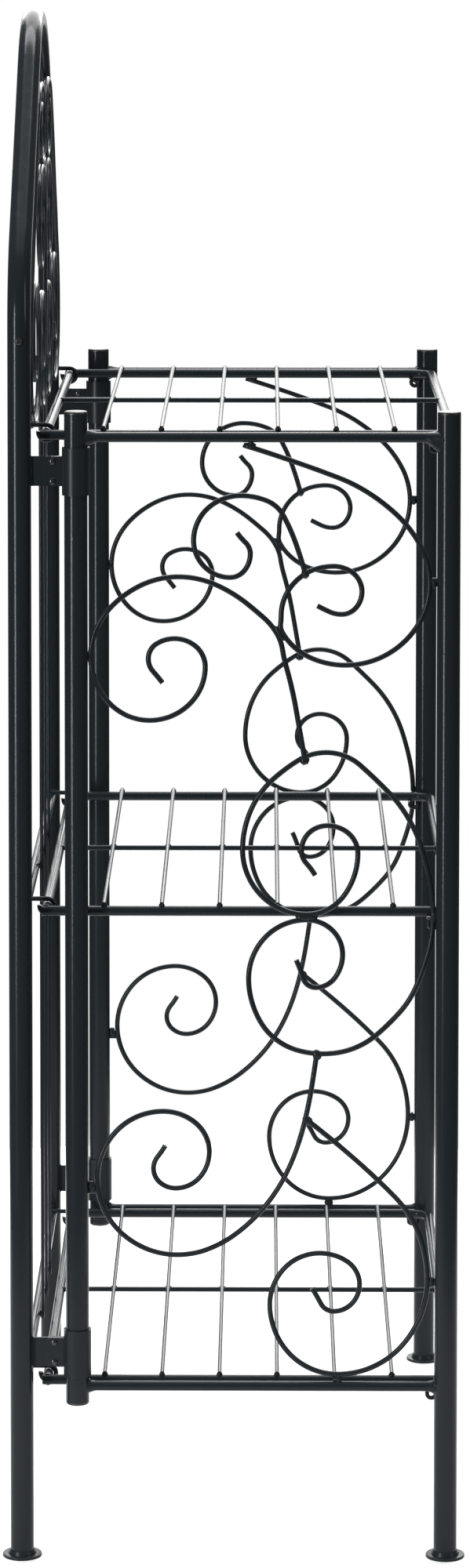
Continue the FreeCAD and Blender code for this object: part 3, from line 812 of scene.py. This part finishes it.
    def foot_welds(self) -> None:
        """Beads between the back feet's collars and the legs."""
        beads = Beads("back_foot_welds")
        for side in Side:
            root = Vector((side.value * LAYOUT.half_width, LAYOUT.leg_y, LAYOUT.foot_collar_top))
            beads.ring(root, UP, EAST, STOCK.tube, 0.0, FOOT_BEAD)
        beads.finish(self.body, self.finishes.weld)

    def screw_heads(self) -> None:
        """Domed heads with a cross recess, in place of the plain screws."""
        shape = bmesh.new()
        for side in Side:
            out = EAST * side.value
            x, grid = side.value * (LAYOUT.half_width + STOCK.tube), self.screw_grid
            seat = Vector((x, LAYOUT.leg_y, self.screw_height))
            turn = Matrix((UP, out.cross(UP), out)).transposed().to_4x4()
            made = bmesh.ops.create_grid(shape, x_segments=grid, y_segments=grid, size=1.0)
            for vert in made["verts"]:
                vert.co = Matrix.Translation(seat) @ turn @ self.head_point(vert.co.x, vert.co.y)
            edges = [edge for edge in shape.edges if edge.is_boundary]
            rim = [edge for edge in edges if edge.verts[0] in made["verts"]]
            skirt = bmesh.ops.extrude_edge_only(shape, edges=rim)
            for vert in [v for v in skirt["geom"] if isinstance(v, bmesh.types.BMVert)]:
                vert.co -= out * self.screw_skirt
        bmesh.ops.recalc_face_normals(shape, faces=shape.faces)
        finish = self.finishes.fastener
        piece = place_piece("arch_screw_heads", shape, self.body, finish)
        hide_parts("arch_screws")

    def head_point(self, u: float, v: float) -> Vector:
        """Point of a screw head for a point of a flat square.

        Args:
            u: first coordinate, -1 to 1.
            v: second coordinate, -1 to 1.

        Returns:
            The point on the domed disc, its Z out of the seat.
        """
        flat = Vector((u * math.sqrt(1.0 - v * v / 2.0), v * math.sqrt(1.0 - u * u / 2.0)))
        radius = min(1.0, flat.length)
        height = self.screw_dome * math.sqrt(max(0.0, 1.0 - self.rim_drop * radius ** 2))
        slot = min(abs(flat.x), abs(flat.y))
        if slot < self.recess_width and radius < self.recess_reach:
            height -= self.recess_depth * (1.0 - radius * self.recess_slope)
        return Vector((flat.x * self.screw_head, flat.y * self.screw_head, height))


# ---------------------------------------------------------------- side panels
@dataclass(frozen=True)
class Fillet:
    """Weld metal that widens a rail's end towards its post."""

    level: Level
    front: bool                     # at the front post, or at the rear one
    reach: float                    # along the rail
    over: float                     # above the rail, at the post
    under: float                    # below the rail, at the post
    hollow: float = 1.3             # 1 is a straight slope


@dataclass(frozen=True)
class ScrollWeld:
    """A lump of weld metal on a panel's scrolls."""

    across: float                   # share of the clear width from the rear post to the front one
    up: float                       # share of the clear height from the bottom rail to the top one
    heading: float                  # degrees, of its longer half size
    long: float
    wide: float


@dataclass
class SidePanel:
    """Two posts, two rails and the scrolls between them."""

    side: Side
    finishes: Finishes
    rail_bead: float = 0.0019
    scroll_ripple: float = 0.22
    scroll_depth: float = 0.0034        # largest half size of a lump across the panel
    rest_stem: float = 0.015
    rest_curl: float = 0.0033           # from the shelf rod's seat down to the stem's end
    rest_start: float = 0.004           # from there up to the beads
    rest_rise: float = 0.0006           # of the beads' middles over the post's skin
    rest_seam: float = 0.0016           # from the stem's middle to a bead
    rest_bead: float = 0.0012
    fillets: tuple[Fillet, ...] = (
        Fillet(Level.TOP, False, 0.0100, 0.0024, 0.0046),
        Fillet(Level.TOP, True, 0.0128, 0.0012, 0.0094),
        Fillet(Level.BOTTOM, False, 0.0070, 0.0010, 0.0024),
        Fillet(Level.BOTTOM, True, 0.0070, 0.0014, 0.0026),
    )
    welds: tuple[ScrollWeld, ...] = (
        ScrollWeld(0.462, 0.9995, 0.0, 0.0060, 0.0030),
        ScrollWeld(0.551, 0.8007, 119.0, 0.0080, 0.0032),
        ScrollWeld(0.625, 0.8639, 75.0, 0.0046, 0.0042),
        ScrollWeld(0.623, 0.6660, 100.0, 0.0050, 0.0044),
        ScrollWeld(0.630, 0.4979, 0.0, 0.0105, 0.0034),
        ScrollWeld(0.661, 0.3500, 90.0, 0.0050, 0.0044),
        ScrollWeld(0.634, 0.2795, -40.0, 0.0055, 0.0040),
        ScrollWeld(1.000, 0.8540, 90.0, 0.0048, 0.0032),
        ScrollWeld(-0.006, 0.7760, 90.0, 0.0048, 0.0032),
        ScrollWeld(0.000, 0.2070, 90.0, 0.0060, 0.0038),
        ScrollWeld(1.000, 0.1050, 90.0, 0.0048, 0.0032),
        ScrollWeld(1.004, 0.5000, 90.0, 0.0075, 0.0032),
        ScrollWeld(0.724, -0.0005, 0.0, 0.0048, 0.0030),
    )

    @property
    def body(self) -> str:
        """The CAD body of the panel."""
        return self.side.word + "_panel"

    def build(self) -> None:
        """Dress the panel's nodes and add its welds."""
        self.dress_nodes()
        self.scroll_welds()
        self.rail_welds()
        self.rest_welds()

    def dress_nodes(self) -> None:
        """Give each node of the panel its finish."""
        word = self.side.word
        scrolls = (
            "upper_front",
            "upper_rear",
            "top",
            "upper_waist",
            "lower_waist",
            "lower_rear",
            "lower_front",
        )
        dress([f"{word}_{post}_post" for post in ("rear", "front")], self.finishes.tube)
        dress([f"{word}_{rail}_rail" for rail in ("bottom", "top")], self.finishes.rod)
        dress([f"{word}_{scroll}_scroll" for scroll in scrolls], self.finishes.wire)
        dress([f"{word}_shelf_rests"], self.finishes.wire)
        dress([f"{word}_weld_studs"], self.finishes.weld)
        dress([f"{word}_post_caps"], self.finishes.cap)
        dress([f"{word}_front_foot"], self.finishes.foot)

    def spot(self, across: float, up: float) -> Vector:
        """Point among the panel's scrolls, by shares of the clear width and height."""
        start = STOCK.tube + STOCK.scroll + STOCK.weld_gap
        low = Level.BOTTOM.value + STOCK.rod + STOCK.scroll + STOCK.weld_gap
        high = Level.TOP.value - STOCK.rod - STOCK.scroll - STOCK.weld_gap
        depth = start + across * (LAYOUT.panel_depth - 2 * start)
        x = self.side.value * LAYOUT.half_width
        return Vector((x, LAYOUT.rear_post_y - depth, low + up * (high - low)))

    def scroll_welds(self) -> None:
        """Lumps that join the scrolls to each other and to the frame."""
        beads = Beads(self.side.word + "_scroll_welds", ripple=self.scroll_ripple)
        for weld in self.welds:
            angle = math.radians(weld.heading)
            along = FORWARD * math.cos(angle) + UP * math.sin(angle)
            size = (weld.long, weld.wide, min(weld.wide, self.scroll_depth))
            beads.lump(self.spot(weld.across, weld.up), along, EAST.cross(along), size)
        beads.finish(self.body, self.finishes.weld)

    def rail_welds(self) -> None:
        """Beads where the rails meet the posts, and round the front foot."""
        beads = Beads(self.side.word + "_rail_welds")
        x = self.side.value * LAYOUT.half_width
        ends = (
            (LAYOUT.rear_post_y - STOCK.tube, FORWARD),
            (LAYOUT.front_post_y + STOCK.tube, -FORWARD),
        )
        for fillet in self.fillets:
            y, out = ends[fillet.front]
            root = Vector((x, y, fillet.level.value))
            beads.ring(root, out, UP, STOCK.rod, STOCK.tube, self.rail_bead)
            beads.flare(root, out, STOCK.rod, STOCK.tube, fillet)
        foot = Vector((x, LAYOUT.front_post_y, LAYOUT.foot_collar_top))
        beads.ring(foot, UP, EAST, STOCK.tube, 0.0, FOOT_BEAD)
        beads.finish(self.body, self.finishes.weld)

    def rest_welds(self) -> None:
        """Short beads down both sides of the rests' stems, on the front post."""
        beads = Beads(self.side.word + "_rest_welds")
        post = Vector((self.side.value * LAYOUT.half_width, LAYOUT.front_post_y, 0.0))
        inward = Vector((-self.side.value, 1.0, 0.0)).normalized()
        aside = inward.cross(UP)
        for level in Level:
            curl = level.value - STOCK.rod - STOCK.rest - self.rest_curl
            for edge in (-1.0, 1.0):
                touch = post + inward * (STOCK.tube + self.rest_rise)
                touch = touch + aside * edge * self.rest_seam
                start = touch + UP * (curl + self.rest_start)
                end = touch + UP * (curl + self.rest_stem - ROW_INSET)
                beads.row(start, end, aside, self.rest_bead, ROW_PITCH)
        beads.finish(self.body, self.finishes.weld)


# ---------------------------------------------------------------- shelves
@dataclass
class Shelf:
    """A bent rim with a rear rod, a spine and cross wires."""

    level: Level
    finishes: Finishes
    half_width: float = 0.30075         # to the axes of the side rods
    rear_y: float = 0.178
    front_y: float = -0.2055
    wires: int = 6
    wire_ripple: float = 0.18
    wire_lump: Place = (0.0029, 0.0032, 0.0025)
    wire_rise: float = 0.0006           # of a lump's middle over the side rod
    spine_lump: Place = (0.0032, 0.0020, 0.0012)
    spine_rise: float = 0.0002          # of a lump's middle over the spine
    rear_bead: float = 0.0012
    rear_cope: float = 0.94             # radius of the bead's ring, in radii of the rod
    end_lump: Place = (0.0036, 0.0028, 0.0016)
    end_gap: float = 0.0004             # from the rod's skin to the lump's middle

    @property
    def body(self) -> str:
        """The CAD body of the shelf."""
        return self.level.word + "_shelf"

    def build(self) -> None:
        """Dress the shelf's nodes and add its welds."""
        word = self.body
        dress([word + "_rim", word + "_rear_rod", word + "_spine"], self.finishes.rod)
        dress([word + "_wires"], self.finishes.wire)
        self.wire_welds()
        self.rod_welds()

    def wire_welds(self) -> None:
        """Fillets on both sides of each wire, where it lies on the side rods and on the spine."""
        beads = Beads(self.body + "_wire_welds", ripple=self.wire_ripple)
        pitch = (self.rear_y - self.front_y) / (self.wires + 1)
        top = self.level.value + STOCK.rod
        for n in range(1, self.wires + 1):
            y = self.rear_y - n * pitch
            for side in Side:
                centre = Vector((side.value * self.half_width, y, top + self.wire_rise))
                beads.lump(centre, FORWARD, EAST, self.wire_lump)
            centre = Vector((0.0, y, top + self.spine_rise))
            beads.lump(centre, FORWARD, EAST, self.spine_lump)
        beads.finish(self.body, self.finishes.weld)

    def rod_welds(self) -> None:
        """Beads at the ends of the rear rod and of the spine."""
        beads = Beads(self.body + "_rod_welds")
        z = self.level.value
        for side in Side:
            root = Vector((side.value * (self.half_width - STOCK.rod), self.rear_y, z))
            rod, out = STOCK.rod * self.rear_cope, EAST * -side.value
            beads.ring(root, out, FORWARD, rod, STOCK.rod, self.rear_bead)
        spine_z = z + STOCK.rod - STOCK.spine
        for y, out in ((self.rear_y - STOCK.rod, FORWARD), (self.front_y + STOCK.rod, -FORWARD)):
            centre = Vector((0.0, y, spine_z)) + out * self.end_gap
            beads.lump(centre, EAST, UP, self.end_lump)
        beads.finish(self.body, self.finishes.weld)


# ---------------------------------------------------------------- studio
@dataclass(frozen=True)
class SoftBox:
    """A soft rectangular light."""

    name: str
    place: Place
    aim: Place
    size: tuple[float, float]
    brightness: float               # radiance of its face

    def make(self) -> None:
        """Add the light, unseen by the camera."""
        light = bpy.data.lights.new(self.name, "AREA")
        light.shape = "RECTANGLE"
        light.size, light.size_y = self.size
        light.energy = self.brightness * math.pi * self.size[0] * self.size[1]
        lamp = bpy.data.objects.new(self.name, light)
        lamp.location = self.place
        way = Vector(self.aim) - Vector(self.place)
        lamp.rotation_euler = way.to_track_quat("-Z", "Y").to_euler()
        lamp.visible_camera = False
        bpy.context.scene.collection.objects.link(lamp)


@dataclass
class Studio:
    """Pale floor, soft light and the camera."""

    floor_reach: float = 1.25           # floor's radius
    floor_sides: int = 96
    backdrop: float = 1.0               # brightness of the background
    surround: float = 0.120             # brightness of what the coat reflects
    overhead: float = 2.5               # light that falls on the floor
    overhead_spread: float = 80.0       # degrees
    camera_place: Place = (-4.9586, -0.0283, 1.5826)
    camera_yaw: float = 0.341
    camera_pitch: float = -4.484
    camera_roll: float = 0.030
    lens: float = 114.20
    shift: float = -0.32
    view_end: float = 100.0
    lights: tuple[SoftBox, ...] = (
        SoftBox("far_low_light", (9.0, 0.0, 1.2), (0.0, 0.0, 1.0), (6.0, 2.0), 0.80),
        SoftBox("far_middle_light", (9.0, 0.0, 2.35), (0.0, 0.0, 1.0), (6.0, 0.3), 2.3),
        SoftBox("far_high_light", (9.0, 0.0, 3.35), (0.0, 0.0, 1.0), (6.0, 1.7), 5.5),
        SoftBox("high_softbox", (3.6, 0.0, 3.6), (0.0, 0.0, 1.3), (3.6, 3.0), 3.5),
        SoftBox("upper_softbox", (1.35, 0.0, 4.2), (1.35, 0.0, 1.0), (1.3, 3.6), 8.5),
        SoftBox("top_softbox", (-0.5, 0.0, 4.2), (-0.5, 0.0, 1.0), (2.3, 3.6), 0.90),
        SoftBox("left_strip_light", (-2.5, 2.15, 0.95), (0.0, 0.0, 0.9), (0.34, 1.9), 34.0),
        SoftBox("right_fill_light", (-1.8, -3.4, 2.2), (0.0, 0.0, 0.8), (0.5, 1.6), 8.0),
    )

    def build(self) -> None:
        """Make the floor, the lights, the world and the camera."""
        self.floor()
        for light in self.lights:
            light.make()
        self.overhead_light()
        self.world()
        self.camera()
        bpy.context.scene.view_settings.view_transform = "Standard"

    def floor(self) -> None:
        """Round pale floor."""
        shape = bmesh.new()
        sides, reach = self.floor_sides, self.floor_reach
        bmesh.ops.create_circle(shape, cap_ends=True, segments=sides, radius=reach)
        mesh = bpy.data.meshes.new("floor")
        shape.to_mesh(mesh)
        shape.free()
        mesh.materials.append(MattPaint("floor_paint").make())
        floor = bpy.data.objects.new("floor", mesh)
        bpy.context.scene.collection.objects.link(floor)

    def overhead_light(self) -> None:
        """Broad light from straight above, even on the floor, that doesn't shine in the coat."""
        light = bpy.data.lights.new("overhead_light", "SUN")
        light.energy = self.overhead
        light.angle = math.radians(self.overhead_spread)
        lamp = bpy.data.objects.new("overhead_light", light)
        lamp.visible_glossy = False
        bpy.context.scene.collection.objects.link(lamp)

    def world(self) -> None:
        """Pale background, and a dimmer surround for the light that falls on the rack."""
        world = bpy.data.worlds.new("studio")
        bpy.context.scene.world = world
        graph = Graph(world)
        seen = graph.term("ShaderNodeLightPath", "Is Camera Ray")
        dim, pale = (
            graph.term("ShaderNodeBackground", 0, None, {"Color": WHITE, "Strength": strength})
            for strength in (self.surround, self.backdrop)
        )
        mixed = graph.term("ShaderNodeMixShader", 0, None, {0: seen, 1: dim, 2: pale})
        graph.node("ShaderNodeOutputWorld", None, {0: mixed})

    def camera(self) -> None:
        """Camera at the left side of the rack, a little above its middle."""
        data = bpy.data.cameras.new("camera")
        data.lens = self.lens
        data.shift_y = self.shift
        data.clip_end = self.view_end
        camera = bpy.data.objects.new("camera", data)
        camera.location = self.camera_place
        turn = Matrix.Rotation(math.radians(self.camera_yaw - 90.0), 3, "Z")
        tilt = Matrix.Rotation(math.radians(90.0 + self.camera_pitch), 3, "X")
        roll = Matrix.Rotation(math.radians(self.camera_roll), 3, "Z")
        camera.rotation_euler = (turn @ tilt @ roll).to_euler()
        bpy.context.scene.collection.objects.link(camera)
        bpy.context.scene.camera = camera


def main() -> None:
    """Build the studio and the rack."""
    logging.basicConfig(level=logging.INFO, format="%(message)s")
    Studio().build()
    finishes = Finishes()
    BackFrame(finishes).build()
    for side in Side:
        SidePanel(side, finishes).build()
    for level in Level:
        Shelf(level, finishes).build()


if __name__ == "__main__":
    main()
